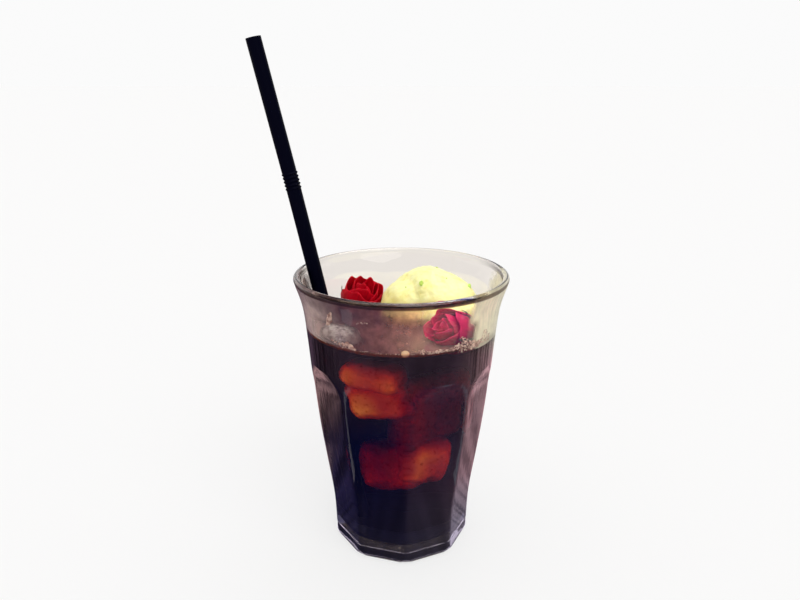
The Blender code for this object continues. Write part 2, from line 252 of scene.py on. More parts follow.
def spread(tree, value, low, high, bottom=0.0, top=1.0, kind="LINEAR"):
    # what lies from low to high is spread from bottom to top
    node = nodeOf(tree, "ShaderNodeMapRange", interpolation_type=kind)
    for key, number in (("From Min", low), ("From Max", high), ("To Min", bottom), ("To Max", top)):
        node.inputs[key].default_value = number
    tree.links.new(value, node.inputs["Value"])
    return node.outputs[0]


def smoothStep(tree, value, low, high, reverse=False):
    ends = (1.0, 0.0) if reverse else (0.0, 1.0)
    return spread(tree, value, low, high, *ends, kind="SMOOTHSTEP")


def measure(tree, operation, source, other=None):
    # how long, how far off or how much along another way a place is, or its bare way
    node = nodeOf(tree, "ShaderNodeVectorMath", operation=operation)
    tree.links.new(source, node.inputs[0])
    if other:
        node.inputs[1].default_value = other
    return node.outputs["Vector" if operation == "NORMALIZE" else "Value"]


def mixColours(tree, first, second, share, kind="MIX"):
    node = nodeOf(tree, "ShaderNodeMix", data_type="RGBA", blend_type=kind)
    for key, source in (("A", first), ("B", second), ("Factor", share)):
        feed(tree, source, node.inputs[key])
    return node.outputs["Result"]


def multiply(tree, first, second, share=1.0):
    return mixColours(tree, first, second, share, "MULTIPLY")


# camera, lights and floor

shot = {"place": (-0.000564, -0.26883, 0.19393), "tilt": 0.310, "sensor": 36.0,
        "focal": 680.1 / 800 * 36.0, "nearest": 0.01, "bounces": 24}
light = {"sunTurn": (math.radians(38), math.radians(24), 0), "sunStrength": 1.1,
         "sunSpread": math.radians(50), "room": (1.0, 0.985, 0.97), "front": (0.09, 0.085, 0.14),
         "back": (0.90, 0.90, 0.90), "backRise": (0.15, 0.75), "lowFall": (0.25, 0.45),
         "top": (1.4, 1.4, 1.4), "topRise": (0.70, 0.95),
         "through": (1.95, 1.86, 1.70), "throughFrom": 1.5, "deep": (2.5, 2.6, 2.4),
         "deepFrom": 5.5, "lamp": (6.5, 6.3, 6.6), "lampWay": (0.16, 0.36, 0.92),
         "lampRise": (0.955, 0.975), "litFrom": 0.5, "far": (0.963, 0.963, 0.963)}
floorShape = {"radius": 40.0, "sides": 96, "drop": 0.0003, "pale": (0.955, 0.955, 0.955),
              "glow": (0.710, 0.490), "glassWalls": (1.0, 2.0), "matt": (0.22, 0.22, 0.22)}


def makeCamera():
    bpy.ops.object.camera_add(location=shot["place"],
                              rotation=(math.pi / 2 - shot["tilt"], 0, 0))
    camera = bpy.context.object
    camera.data.sensor_width = shot["sensor"]
    camera.data.lens = shot["focal"]
    camera.data.clip_start = shot["nearest"]
    bpy.context.scene.camera = camera


def emptyTree(holder):
    holder.use_nodes = True
    holder.node_tree.nodes.clear()
    return holder.node_tree


def makeWorld():
    # what lights the pieces is even, and what the glass mirrors is pale low down behind it
    # and overhead, and dim elsewhere
    world = bpy.data.worlds.new("studio")
    bpy.context.scene.world = world
    tree = emptyTree(world)
    way = nodeOf(tree, "ShaderNodeTexCoord").outputs["Generated"]
    split = splitUp(tree, way)
    pale = sums(tree, "MULTIPLY", smoothStep(tree, split["Y"], *light["backRise"]),
                smoothStep(tree, split["Z"], *light["lowFall"], reverse=True))
    mirrored = mixColours(tree, light["front"], light["back"], pale)
    mirrored = mixColours(tree, mirrored, light["top"],
                          smoothStep(tree, split["Z"], *light["topRise"]))
    # a lamp overhead draws the fine lines along the rim, the waterline and the foot
    toLamp = measure(tree, "DOT_PRODUCT", way, light["lampWay"])
    mirrored = mixColours(tree, mirrored, light["lamp"],
                          smoothStep(tree, toLamp, *light["lampRise"]))
    path = nodeOf(tree, "ShaderNodeLightPath").outputs
    # pieces seen through the glass are lit more strongly, sunk ice most of all
    room = light["room"]
    for level in ("through", "deep"):
        often = sums(tree, "GREATER_THAN", path["Transmission Depth"], light[level + "From"])
        room = mixColours(tree, room, light[level], often)
    lit = sums(tree, "GREATER_THAN", path["Diffuse Depth"], light["litFrom"])
    seen = mixColours(tree, mirrored, room, lit)
    seen = mixColours(tree, seen, light["far"], path["Is Camera Ray"])
    background = nodeOf(tree, "ShaderNodeBackground")
    output = nodeOf(tree, "ShaderNodeOutputWorld")
    tree.links.new(seen, background.inputs["Color"])
    tree.links.new(background.outputs[0], output.inputs["Surface"])


def glowOn(piece, colour):
    material = bpy.data.materials.new(piece.name)
    tree = emptyTree(material)
    glow = nodeOf(tree, "ShaderNodeEmission")
    feed(tree, colour, glow.inputs["Color"])
    output = nodeOf(tree, "ShaderNodeOutputMaterial")
    tree.links.new(glow.outputs[0], output.inputs["Surface"])
    piece.data.materials.append(material)
    return tree, glow, output


def makeFloor():
    bpy.ops.mesh.primitive_circle_add(vertices=floorShape["sides"], radius=floorShape["radius"],
                                      fill_type="NGON", location=(0, 0, -floorShape["drop"]))
    floor = bpy.context.object
    floor.name = "paleFloor"
    tree, glow, output = glowOn(floor, floorShape["pale"])
    # it glows less behind the glass, where it is lit more strongly
    path = nodeOf(tree, "ShaderNodeLightPath").outputs
    strength = spread(tree, path["Transmission Depth"], *floorShape["glassWalls"],
                      *floorShape["glow"])
    tree.links.new(strength, glow.inputs["Strength"])
    matt = nodeOf(tree, "ShaderNodeBsdfDiffuse")
    feed(tree, floorShape["matt"], matt.inputs["Color"])
    both = nodeOf(tree, "ShaderNodeAddShader")
    tree.links.new(glow.outputs[0], both.inputs[0])
    tree.links.new(matt.outputs[0], both.inputs[1])
    tree.links.new(both.outputs[0], output.inputs["Surface"])


def makeLights():
    bpy.ops.object.light_add(type="SUN", rotation=light["sunTurn"])
    sun = bpy.context.object
    sun.data.energy = light["sunStrength"]
    sun.data.angle = light["sunSpread"]


# cards on the floor that the glass alone sees, with their colours by name
cardShape = {"drop": 0.00015, "reach": 0.9, "footDrop": 0.00021, "footReach": 0.075,
             "footFrom": 0.028, "shadeDrop": 0.000075, "shadeRadius": 0.0285,
             "shadeSides": 64, "stripDrop": 0.000075, "strip": (0.085, 0.032),
             "ringDrop": 0.00005, "ring": (0.0299, 0.0313), "ringSides": 72}
cardColours = {"blue": (0.035, 0.060, 0.42), "mauve": (0.50, 0.30, 0.50),
               "dark": (0.20, 0.12, 0.19), "pink": (1.25, 0.72, 0.74),
               "pale": (1.40, 0.82, 0.90), "cream": (0.85, 0.80, 0.68),
               "rose": (0.95, 0.58, 0.60), "white": (1.30, 1.10, 1.20),
               "dim": (0.11, 0.07, 0.12), "strip": (0.80, 0.76, 1.0),
               "ring": (2.6, 2.3, 3.0), "shade": (0.020, 0.018, 0.045)}
# the big card by the distance from the glass: dim and bluish in front, pinkish at the sides
cardRings = {"front": ((0.10, "blue"), (0.18, "mauve")),
             "left": ((0.050, "shade"), (0.073, "rose"), (0.095, "dark"), (0.130, "pink"),
                      (0.150, "pink"), (0.185, "dark")),
             "right": ((0.035, "white"), (0.060, "pink"), (0.120, "pale"), (0.200, "pale"),
                       (0.240, "cream"))}
# where one way of the card gives over to the next, and its clouds and streaks
cardFades = {"dim": (0.24, 0.40), "leftRight": (-0.05, 0.05), "frontSides": (-0.14, 0.10),
             "cloud": (22, 3), "cloudTones": [(0.35, 0.45), (0.60, 1.0)], "cloudShare": 0.6,
             "streaks": (15, 2, 0.5), "streaksFrom": (-0.09, 0.04), "streaksShare": 0.8,
             "streakTones": [(0.42, (0.12, 0.12, 0.16)), (0.56, (1.0, 1.0, 1.0))]}
# the middle of each strip and how it is turned, in degrees
cardStrips = ((-0.095, -0.054, 18), (0.100, -0.031, -3))
plainWhite = (1.0, 1.0, 1.0)


def hideFromView(piece, *ways):
    for way in ("camera", "diffuse", "shadow") + ways:
        setattr(piece, "visible_" + way, False)


def addCard(name, nearY, farY, depth, *ways):
    bpy.ops.mesh.primitive_plane_add(size=1, location=(0, (nearY + farY) / 2, -depth))
    card = bpy.context.object
    card.name = name
    card.scale = (2 * cardShape["reach"], farY - nearY, 1)
    placeInMesh(card)
    tree, glow, _ = glowOn(card, cardColours["blue"])
    hideFromView(card, *ways)
    return tree, glow


def paintCard(tree, glow):
    fades = cardFades
    place = objectPlace(tree)
    split = splitUp(tree, place)
    away = measure(tree, "LENGTH", place)
    front, left, right = [
        ramp(tree, away, [(far, cardColours[name]) for far, name in cardRings[side]])
        for side in ("front", "left", "right")]
    aside = sums(tree, "DIVIDE", split["Y"], away)
    left = mixColours(tree, cardColours["dim"], left, smoothStep(tree, aside, *fades["dim"]))
    side = mixColours(tree, left, right, smoothStep(tree, split["X"], *fades["leftRight"]))
    colour = mixColours(tree, front, side, smoothStep(tree, split["Y"], *fades["frontSides"]))
    cloud = ramp(tree, objectNoise(tree, *fades["cloud"]), fades["cloudTones"])
    colour = multiply(tree, colour, cloud, fades["cloudShare"])
    rays = noiseOn(tree, measure(tree, "NORMALIZE", place), *fades["streaks"])
    streaks = mixColours(tree, plainWhite, ramp(tree, rays, fades["streakTones"]),
                         smoothStep(tree, split["Y"], *fades["streaksFrom"]))
    colour = multiply(tree, colour, streaks, fades["streaksShare"])
    tree.links.new(colour, glow.inputs["Color"])


def makeCards():
    s = cardShape
    paintCard(*addCard("mirroredCard", -s["reach"], s["reach"], s["drop"], "transmission"))
    addCard("footCard", -s["footReach"], -s["footFrom"], s["footDrop"], "glossy")
    # the shade under the glass
    bpy.ops.mesh.primitive_circle_add(vertices=s["shadeSides"], radius=s["shadeRadius"],
                                      fill_type="NGON", location=(0, 0, -s["shadeDrop"]))
    shade = bpy.context.object
    shade.name = "footShade"
    glowOn(shade, cardColours["shade"])
    hideFromView(shade)
    # what the edges between the panels and the edge of the foot catch as thin lines
    for x, y, turn in cardStrips:
        bpy.ops.mesh.primitive_plane_add(size=1, location=(x, y, -s["stripDrop"]),
                                         rotation=(0, 0, math.radians(turn)))
        strip = bpy.context.object
        strip.name = "edgeStrip"
        strip.scale = (*s["strip"], 1)
        placeInMesh(strip)
        glowOn(strip, cardColours["strip"])
        hideFromView(strip, "transmission")
    ring = spinOutline("footRing", [(radius, -s["ringDrop"]) for radius in s["ring"]],
                       s["ringSides"])
    glowOn(ring, cardColours["ring"])
    hideFromView(ring, "transmission")


makeCamera()
makeWorld()
makeFloor()
makeLights()
makeCards()
bpy.context.scene.view_settings.view_transform = "Standard"
bpy.context.scene.cycles.max_bounces = shot["bounces"]
bpy.context.scene.cycles.transmission_bounces = shot["bounces"]
print("camera, lights and floor are in place")


# materials

# sizes that the materials share with the pieces
drinkShape = {"level": 0.0970, "reach": 0.00015, "skin": 0.0003, "rise": 0.0026,
              "riseWidth": 0.0015, "columns": 240, "dregs": 0.0150, "dregsReach": 0.00005}
filmShape = {"from": -115.0, "to": 115.0, "spare": 18.0, "low": 0.0955, "high": 0.1182,
             "gap": -0.00015, "thick": 0.00006, "columns": 178, "rows": 24, "sharpFrom": 60}
singleBubble = {"angle": 2.0, "above": 0.0024, "radius": 0.0015}

glassLook = {"wall": (0.90, 0.865, 0.84), "bend": 1.5, "rimFrontShade": (0.05, 0.03, 0.02),
             "rimBack": (0.90, 0.87, 0.84), "frontToBack": (-0.002, 0.028),
             "rimFrom": (0.1173, 0.1179), "rimTo": (0.1192, 0.1197),
             "wave": (60, 2), "waveDepth": (0.05, 0.0006), "wetBend": 1.08,
             "lines": (420, 3), "linesStretch": (1, 1, 0.10), "linesDepth": (0.14, 0.0004),
             "linesTo": (0.080, 0.088)}


def makeOuterGlass():
    # darker in the thick rim, whose front is tinted near black as painted shade while its back
    # stays pale, and drawn in fine upright lines where it is pressed
    look = glassLook
    material, tree, shader = newMaterial("clearGlass", look["wall"], 0.0,
                                         Transmission_Weight=1.0, IOR=look["bend"])
    split = splitUp(tree, objectPlace(tree))
    rim = multiply(tree, smoothStep(tree, split["Z"], *look["rimFrom"]),
                   smoothStep(tree, split["Z"], *look["rimTo"], reverse=True))
    # painted shade: the rim is tinted near black at the front and pale at the back
    thick = mixColours(tree, look["rimFrontShade"], look["rimBack"],
                       smoothStep(tree, split["Y"], *look["frontToBack"]))
    tree.links.new(mixColours(tree, look["wall"], thick, rim), shader.inputs["Base Color"])
    coarse = addBump(tree, shader, objectNoise(tree, *look["wave"]), *look["waveDepth"])
    lines = multiply(tree, objectNoise(tree, *look["lines"], stretch=look["linesStretch"]),
                     smoothStep(tree, split["Z"], *look["linesTo"], reverse=True))
    addBump(tree, shader, lines, *look["linesDepth"], after=coarse)
    return material


def makeWetGlass():
    # the wall where the drink wets it hardly bends light
    material, tree, shader = newMaterial("wetGlass", plainWhite, 0.0, Transmission_Weight=1.0,
                                         IOR=glassLook["wetBend"])
    addBump(tree, shader, objectNoise(tree, *glassLook["wave"]), *glassLook["waveDepth"])
    return material


drinkLook = {"bend": 1.02, "passes": (0.872, 0.50, 0.0), "density": 1000,
             "black": (0.0030, 0.0030, 0.0090), "blackRoughness": 0.30, "blackShine": 0.1}


def makeBlackDrink():
    return newMaterial("blackDrink", drinkLook["black"], drinkLook["blackRoughness"],
                       Specular_IOR_Level=drinkLook["blackShine"])[0]


def makeDarkDrink():
    material, tree, shader = newMaterial("darkDrink", plainWhite, 0.0, Transmission_Weight=1.0,
                                         IOR=drinkLook["bend"])
    absorb = nodeOf(tree, "ShaderNodeVolumeAbsorption")
    feed(tree, drinkLook["passes"], absorb.inputs["Color"])
    feed(tree, drinkLook["density"], absorb.inputs["Density"])
    tree.links.new(absorb.outputs[0], tree.nodes["Material Output"].inputs["Volume"])
    return material


# what the drink and the melted ice cream left on the wall: each stop is the share of the
# way round from the left side by the front to the right side
filmCream = [(0.66, (0.98, 0.84, 0.58)), (0.72, (1.0, 0.98, 0.74)), (0.90, (1.0, 0.99, 0.82))]
filmLook = {
    # the pale stop at the left near the surface is partly the film and partly a painted highlight
    # along the waterline
    "below": [(0.00, (0.40, 0.33, 0.33)), (0.20, (0.84, 0.69, 0.66)), (0.34, (0.12, 0.042, 0.048)),
              (0.44, (0.24, 0.090, 0.090)), (0.56, (0.52, 0.260, 0.215))] + filmCream,
    "under": [(0.00, (0.44, 0.36, 0.36)), (0.20, (0.45, 0.36, 0.36)), (0.34, (0.085, 0.022, 0.028)),
              (0.44, (0.20, 0.078, 0.082)), (0.51, (0.80, 0.44, 0.22)),
              (0.58, (1.0, 0.70, 0.34))] + filmCream,
    "underFrom": (0.60, 0.90), "patch": (260, 5, 0.6),
    # the patches are partly the film's own blotches and partly painted glints, brighter than white
    "patchBlotchGlintTones": [(0.34, (0.50, 0.44, 0.46)), (0.50, (1.0, 1.0, 1.0)), (0.66, (1.6, 1.6, 1.5))],
    "patchShare": [(0.24, 0.35), (0.38, 0.80), (0.66, 0.60), (0.74, 0.15)],
    # how much it hides, near the surface and under the rim
    "low": [(0.04, 0.96), (0.14, 0.90), (0.20, 0.30), (0.34, 0.20), (0.39, 0.82), (0.47, 0.74),
            (0.53, 0.45), (0.57, 0.0), (0.725, 0.0), (0.75, 0.97), (0.96, 0.97)],
    "high": [(0.04, 0.96), (0.40, 0.92), (0.50, 0.55), (0.535, 0.52), (0.58, 0.0), (0.695, 0.0),
             (0.72, 0.97), (0.96, 0.97)],
    "highFrom": (0.48, 0.68), "run": (240, 4, 0.6), "runStretch": (1, 1, 0.45),
    "runTones": [(0.30, 0.90), (0.55, 1.0)],
    # its lower edge follows the surface, and at the right runs on below it
    "edge": [(0.30, 0.17), (0.66, 0.16), (0.76, 0.04), (0.93, 0.04), (0.99, 0.17)],
    "edgeSoft": (-0.015, 0.015), "thin": (0.02, 0.20), "thinShare": 0.50,
    "thinFrom": [(0.68, 0.0), (0.74, 1.0)],
    # past the sides it ends raggedly
    "endShare": 1.5, "torn": (90, 5, 0.65), "tornAt": (0.74, 1.36),
    "relief": (500, 4), "reliefDepth": (0.30, 0.0004), "roughness": 0.30, "bend": 1.34,
}


def filmColour(tree, around, up):
    look = filmLook
    colour = mixColours(tree, ramp(tree, around, look["below"]), ramp(tree, around, look["under"]),
                        smoothStep(tree, up, *look["underFrom"]))
    # painted glints: the patches lift the film's colour above white in places
    patches = ramp(tree, objectNoise(tree, *look["patch"]), look["patchBlotchGlintTones"])
    uneven = mixColours(tree, plainWhite, patches, ramp(tree, around, look["patchShare"]))
    return multiply(tree, colour, uneven)


def filmCover(tree, around, up):
    look = filmLook
    cover = mixColours(tree, ramp(tree, around, look["low"]), ramp(tree, around, look["high"]),
                       smoothStep(tree, up, *look["highFrom"]))
    run = objectNoise(tree, *look["run"], stretch=look["runStretch"])
    cover = multiply(tree, cover, ramp(tree, run, look["runTones"]))
    height = sums(tree, "SUBTRACT", up, ramp(tree, around, look["edge"]))
    fade = mixColours(tree, (look["thinShare"],) * 3, plainWhite,
                      smoothStep(tree, height, *look["thin"]))
    fade = mixColours(tree, plainWhite, fade, ramp(tree, around, look["thinFrom"]))
    return multiply(tree, multiply(tree, cover, fade), smoothStep(tree, height, *look["edgeSoft"]))


def makeWallFilm():
    look = filmLook
    material, tree, shader = newMaterial("wallFilm", look["below"][0][1], look["roughness"],
                                         IOR=look["bend"])
    split = splitUp(tree, sheetPlace(tree))
    wide, up = split["X"], split["Y"]
    spare = filmShape["spare"] / (filmShape["to"] - filmShape["from"])
    around = spread(tree, wide, spare, 1 - spare)
    tree.links.new(filmColour(tree, around, up), shader.inputs["Base Color"])
    faded = spare * look["endShare"]
    ends = ramp(tree, wide, [(0.0, 0.0), (faded, 1.0), (1 - faded, 1.0), (1.0, 0.0)])
    torn = sums(tree, "ADD", ends, objectNoise(tree, *look["torn"]))
    cover = multiply(tree, filmCover(tree, around, up), smoothStep(tree, torn, *look["tornAt"]))
    tree.links.new(cover, shader.inputs["Alpha"])
    addBump(tree, shader, objectNoise(tree, *look["relief"]), *look["reliefDepth"])
    return material


# finishes whose colour and relief come from noise: its scale, detail and roughness, then
# the tones that it gives, and for each relief its noise, strength and depth in metres
finishes = {
    "creamySkin": {"grain": (55, 5, 0.6), "roughness": 0.07, "plain": {"IOR": 1.34},
                   "tones": [(0.35, (0.12, 0.052, 0.056)), (0.55, (0.20, 0.100, 0.094)),
                             (0.75, (0.36, 0.215, 0.170))],
                   "relief": [((140, 3), 0.10, 0.0004)]},
    "vanilla": {"grain": (210, 5, 0.6), "roughness": 0.45,
                "plain": {"Subsurface_Weight": 0.35, "Subsurface_Scale": 0.004,
                          "Subsurface_Radius": (1.0, 0.8, 0.3)},
                "tones": [(0.30, (0.86, 0.78, 0.26)), (0.45, (0.93, 0.89, 0.38)),
                          (0.72, (0.97, 0.94, 0.50))],
                "relief": [((420, 4), 0.35, 0.0006), ((1500, 3), 0.25, 0.0003)]},
    "sepal": {"grain": (400, 3), "roughness": 0.6, "plain": {},
              "tones": [(0.3, (0.03, 0.05, 0.03)), (0.7, (0.10, 0.13, 0.06))], "relief": []},
    "fleckGreen": {"grain": (900, 3), "roughness": 0.5,
                   "plain": {"Subsurface_Weight": 0.3, "Subsurface_Scale": 0.001},
                   "tones": [(0.35, (0.36, 0.58, 0.06)), (0.65, (0.66, 0.86, 0.20))],
                   "relief": []},
    "frost": {"grain": (420, 5, 0.7), "roughness": 0.8, "plain": {"Specular_IOR_Level": 0.1},
              "tones": [(0.30, (0.55, 0.52, 0.50)), (0.45, (0.92, 0.91, 0.88)),
                        (0.65, (1.0, 1.0, 0.98))],
              "relief": [((500, 4), 0.4, 0.0008)]},
    "tanFoam": {"grain": (700, 2), "roughness": 0.15, "plain": {},
                "tones": [(0.38, (0.42, 0.24, 0.20)), (0.60, (0.88, 0.66, 0.55))],
                "relief": []},
}


def mottled(name):
    look = finishes[name]
    material, tree, shader = newMaterial(name, look["tones"][1][1], look["roughness"],
                                         **look["plain"])
    colour = ramp(tree, objectNoise(tree, *look["grain"]), look["tones"])
    tree.links.new(colour, shader.inputs["Base Color"])
    relief = None
    for grain, strength, depth in look["relief"]:
        relief = addBump(tree, shader, objectNoise(tree, *grain), strength, depth, relief)
    return material


# the lobe at the left of the scoop is painted darker and browner than the rest, as painted shade on
# its less lit side
lobeShade = {"middle": (-0.006, 0.004, 0.099), "share": 0.8,
           "tones": [(0.005, (0.86, 0.74, 0.44)), (0.013, (1.0, 1.0, 1.0))]}


def makeVanilla():
    material = mottled("vanilla")
    tree = material.node_tree
    base = tree.nodes["Principled BSDF"].inputs["Base Color"]
    near = measure(tree, "DISTANCE", objectPlace(tree), lobeShade["middle"])
    # painted shade: darker and browner near the middle of the lobe
    tan = ramp(tree, near, lobeShade["tones"])
    tree.links.new(multiply(tree, base.links[0].from_socket, tan, lobeShade["share"]), base)
    return material


petalLook = {"roughness": 0.50, "footShadeTo": 0.05, "middleAt": 0.55, "brightFrom": 0.97,
             "plain": {"Subsurface_Weight": 0.15, "Subsurface_Scale": 0.001,
                       "Specular_IOR_Level": 0.12},
             "veins": (1.0, 3.0, 0.5), "veinStretch": (26, 2.2, 1), "veinShare": 0.55,
             "veinTones": [(0.35, 0.45), (0.60, 1.0)], "veinDepth": (0.5, 0.0003)}
# each rose's colours from the foot of a petal, darkened there as painted shade between the petals,
# to its edge
petalReds = {"deepRedPetal": ((0.06, 0.000, 0.003), (0.46, 0.000, 0.010), (0.58, 0.001, 0.014)),
             "pinkRedPetal": ((0.13, 0.001, 0.022), (0.46, 0.003, 0.066), (0.72, 0.020, 0.122))}


def makePetal(name):
    look = petalLook
    deep, middle, bright = petalReds[name]
    material, tree, shader = newMaterial(name, middle, look["roughness"], **look["plain"])
    sheet = sheetPlace(tree)
    # painted shade: the foot of each petal, deep in the bud, is darkened
    colour = ramp(tree, splitUp(tree, sheet)["Y"], [
        (look["footShadeTo"], deep), (look["middleAt"], middle), (look["brightFrom"], bright)])
    veins = noiseOn(tree, sheet, *look["veins"], stretch=look["veinStretch"])
    shade = ramp(tree, veins, look["veinTones"])
    tree.links.new(multiply(tree, colour, shade, look["veinShare"]), shader.inputs["Base Color"])
    addBump(tree, shader, veins, *look["veinDepth"])
    return material


plasticLook = {"black": (0.0006, 0.0008, 0.006), "roughness": 0.45, "shine": 0.03,
               "draw": (300, 3), "drawStretch": (1, 1, 0.15), "drawDepth": (0.10, 0.0003)}


def makeBlackPlastic():
    look = plasticLook
    material, tree, shader = newMaterial("blackPlastic", look["black"], look["roughness"],
                                         Specular_IOR_Level=look["shine"])
    addBump(tree, shader, objectNoise(tree, *look["draw"], stretch=look["drawStretch"]),
            *look["drawDepth"])
    return material


# cloudy ice, painted near black below the drink's level as painted shade from the drink round it
iceLook = {"grain": (240, 5, 0.7), "roughness": 0.22, "clear": 0.35, "bend": 1.31,
           "tones": [(0.40, (0.22, 0.17, 0.18)), (0.50, (0.58, 0.50, 0.48)),
                     (0.58, (1.0, 0.95, 0.92))],
           "sunk": (0.003, 0.002, 0.005), "sunkSoft": 0.0015,
           "dents": (260, 4), "dentDepth": (1.0, 0.0030)}


def makeClearIce():
    look = iceLook
    material, tree, shader = newMaterial("clearIce", look["tones"][1][1], look["roughness"],
                                         Transmission_Weight=look["clear"], IOR=look["bend"])
    pale = ramp(tree, objectNoise(tree, *look["grain"]), look["tones"])
    above = smoothStep(tree, splitUp(tree, objectPlace(tree))["Z"],
                       drinkShape["level"], drinkShape["level"] + look["sunkSoft"])
    # painted shade: below the level the ice is nearly black
    tree.links.new(mixColours(tree, look["sunk"], pale, above), shader.inputs["Base Color"])
    addBump(tree, shader, objectNoise(tree, *look["dents"]), *look["dentDepth"])
    return material


# an amber bubble, brown below as painted shade and pale gold above as a painted reflection of the
# light over it
beadShadeAndGlint = {"from": -0.0008, "to": 0.0006, "roughness": 0.12,
            "tones": [(0.0, (0.34, 0.15, 0.09)), (0.5, (0.95, 0.55, 0.28)),
                      (1.0, (1.0, 0.74, 0.46))]}


def makeGoldenBead():
    material, tree, shader = newMaterial("goldenBead", beadShadeAndGlint["tones"][1][1],
                                         beadShadeAndGlint["roughness"])
    middle = drinkShape["level"] + singleBubble["above"]
    # painted shade low down and a painted highlight at the top of the bubble
    height = smoothStep(tree, splitUp(tree, objectPlace(tree))["Z"],
                        middle + beadShadeAndGlint["from"], middle + beadShadeAndGlint["to"])
    tree.links.new(ramp(tree, height, beadShadeAndGlint["tones"]), shader.inputs["Base Color"])
    return material


clearGlass = makeOuterGlass()
wetGlass = makeWetGlass()
darkDrink = makeDarkDrink()
blackDrink = makeBlackDrink()
wallFilm = makeWallFilm()
goldenBead = makeGoldenBead()
creamySkin = mottled("creamySkin")
vanilla = makeVanilla()
deepRed = makePetal("deepRedPetal")
pinkRed = makePetal("pinkRedPetal")
sepalGreen = mottled("sepal")
fleckGreen = mottled("fleckGreen")
blackPlastic = makeBlackPlastic()
clearIce = makeClearIce()
frost = mottled("frost")
tanFoam = mottled("tanFoam")
print("materials are ready")


# the tumbler

tumblerShape = {
    "sides": 9, "firstCorner": math.radians(3.55), "rimRadius": 0.0439, "rimHeight": 0.1187,
    "rimBead": 0.0014, "rimTurn": (-15, 200), "under": 0.0255, "heel": 0.0024,
    "floor": 0.0070, "floorRound": 0.0045, "floorTurn": (-90, -6), "innerFrom": 0.0150,
    "innerLow": 0.0120, "wallLeast": 0.0007,
    "archSpring": 0.0730, "archTop": 0.0850, "panelDepth": 0.0004, "panelRun": 0.010,
    "edgeRound": 0.00030, "columns": 9 * 36, "wetTo": 0.0992, "wetSlack": 0.0003,
    "footSoft": 0.006, "footBulge": 0.30, "footTop": 0.0054, "footInset": 0.0002,
    "outer": ((0.0024, 0.0298), (0.0200, 0.0306), (0.0400, 0.0334), (0.0560, 0.0356),
              (0.0760, 0.0377), (0.0940, 0.0392), (0.1080, 0.0408), (0.1187, 0.0440)),
    "inner": ((0.0120, 0.0263), (0.0400, 0.0296), (0.0730, 0.0336), (0.0970, 0.0370),
              (0.1100, 0.0389), (0.1187, 0.0416)),
}
# where the outline's points stand, and how many there are along each stretch
tumblerLoops = {"under": (0.0, 0.3, 0.6, 0.85, 1.0), "heel": 8,
                "foot": (0.0032, 0.0041, 0.0051, 0.00539, 0.0057, 0.0063),
                "panel": (0.0020, 36), "arch": (0.0004, 34), "neck": (0.0016, 0.0025, 20),
                "rim": 16, "inside": (0.004, 9), "wet": 28,
                "floor": (0.0, 0.2, 0.4, 0.6, 0.75), "corner": 10}


def innerOutline(grow, top, count):
    # from the middle of the floor out, round the corner and up the inside of the wall
    s = tumblerShape
    floor = s["floor"] - grow
    cornerZ = floor + s["floorRound"]
    cornerR = curveThrough(s["inner"], cornerZ) + grow
    line = [(cornerR * share, floor) for share in tumblerLoops["floor"]]
    line += arc((cornerR - s["floorRound"], cornerZ), s["floorRound"], *s["floorTurn"],
                tumblerLoops["corner"])
    return line + [(curveThrough(s["inner"], z) + grow, z)
                   for z in steps(s["innerFrom"], top, count)]


def ridgeRadius(z):
    # out to the edge between two panels, down to the rounded heel
    heel = tumblerShape["heel"]
    if z >= heel:
        return curveThrough(tumblerShape["outer"], z)
    drop = heel - max(z, 0.0)
    return tumblerShape["outer"][0][1] - heel + math.sqrt(heel ** 2 - drop ** 2)


def panelReach(z):
    # distance of a panel from the upright axis: flat below the arch, then running out
    spring, top = tumblerShape["archSpring"], tumblerShape["archTop"]
    half = math.pi / tumblerShape["sides"]
    if z < tumblerShape["footSoft"]:
        half *= 1 - tumblerShape["footBulge"] * (1 - z / tumblerShape["footSoft"]) ** 2
    if z > spring:
        rise = min(1.0, (z - spring) / (top - spring))
        half *= math.sqrt(max(0.0, 1 - rise * rise))
    inset = tumblerShape["footInset"] if z < tumblerShape["footTop"] else 0.0
    return ridgeRadius(z) * math.cos(half) - inset


def pressPanels(tumbler):
    # the nine panels are pressed flat, with a slightly rounded edge between them
    s = tumblerShape
    points = readPoints(tumbler)
    wide = math.tau / s["sides"]
    soft = s["edgeRound"]
    for i, (x, y, z) in enumerate(points):
        radius = math.hypot(x, y)
        inner = curveThrough(s["inner"], max(z, s["innerLow"]))
        if z > s["archTop"] or radius < inner + s["wallLeast"]:
            continue
        turn = math.atan2(y, x) + math.pi / 2 - s["firstCorner"]
        across = turn % wide - wide / 2
        reach = panelReach(z)
        walls = [radius] + [reach / math.cos(across + side * wide) for side in (-1, 0, 1)]
        least = min(walls)
        total = sum(math.exp((least - wall) / soft) for wall in walls)
        pressed = min(radius, least - soft * math.log(total))
        if z < s["footTop"]:
            pressed = min(pressed, ridgeRadius(z) - s["footInset"])
        points[i] = (x * pressed / radius, y * pressed / radius, z)
    writePoints(tumbler, points)


def bodyRadius(z):
    # the glass before its panels are pressed
    s = tumblerShape
    below = min(1.0, max(0.0, (s["archSpring"] - z) / s["panelRun"]))
    return curveThrough(s["outer"], z) + s["panelDepth"] * below


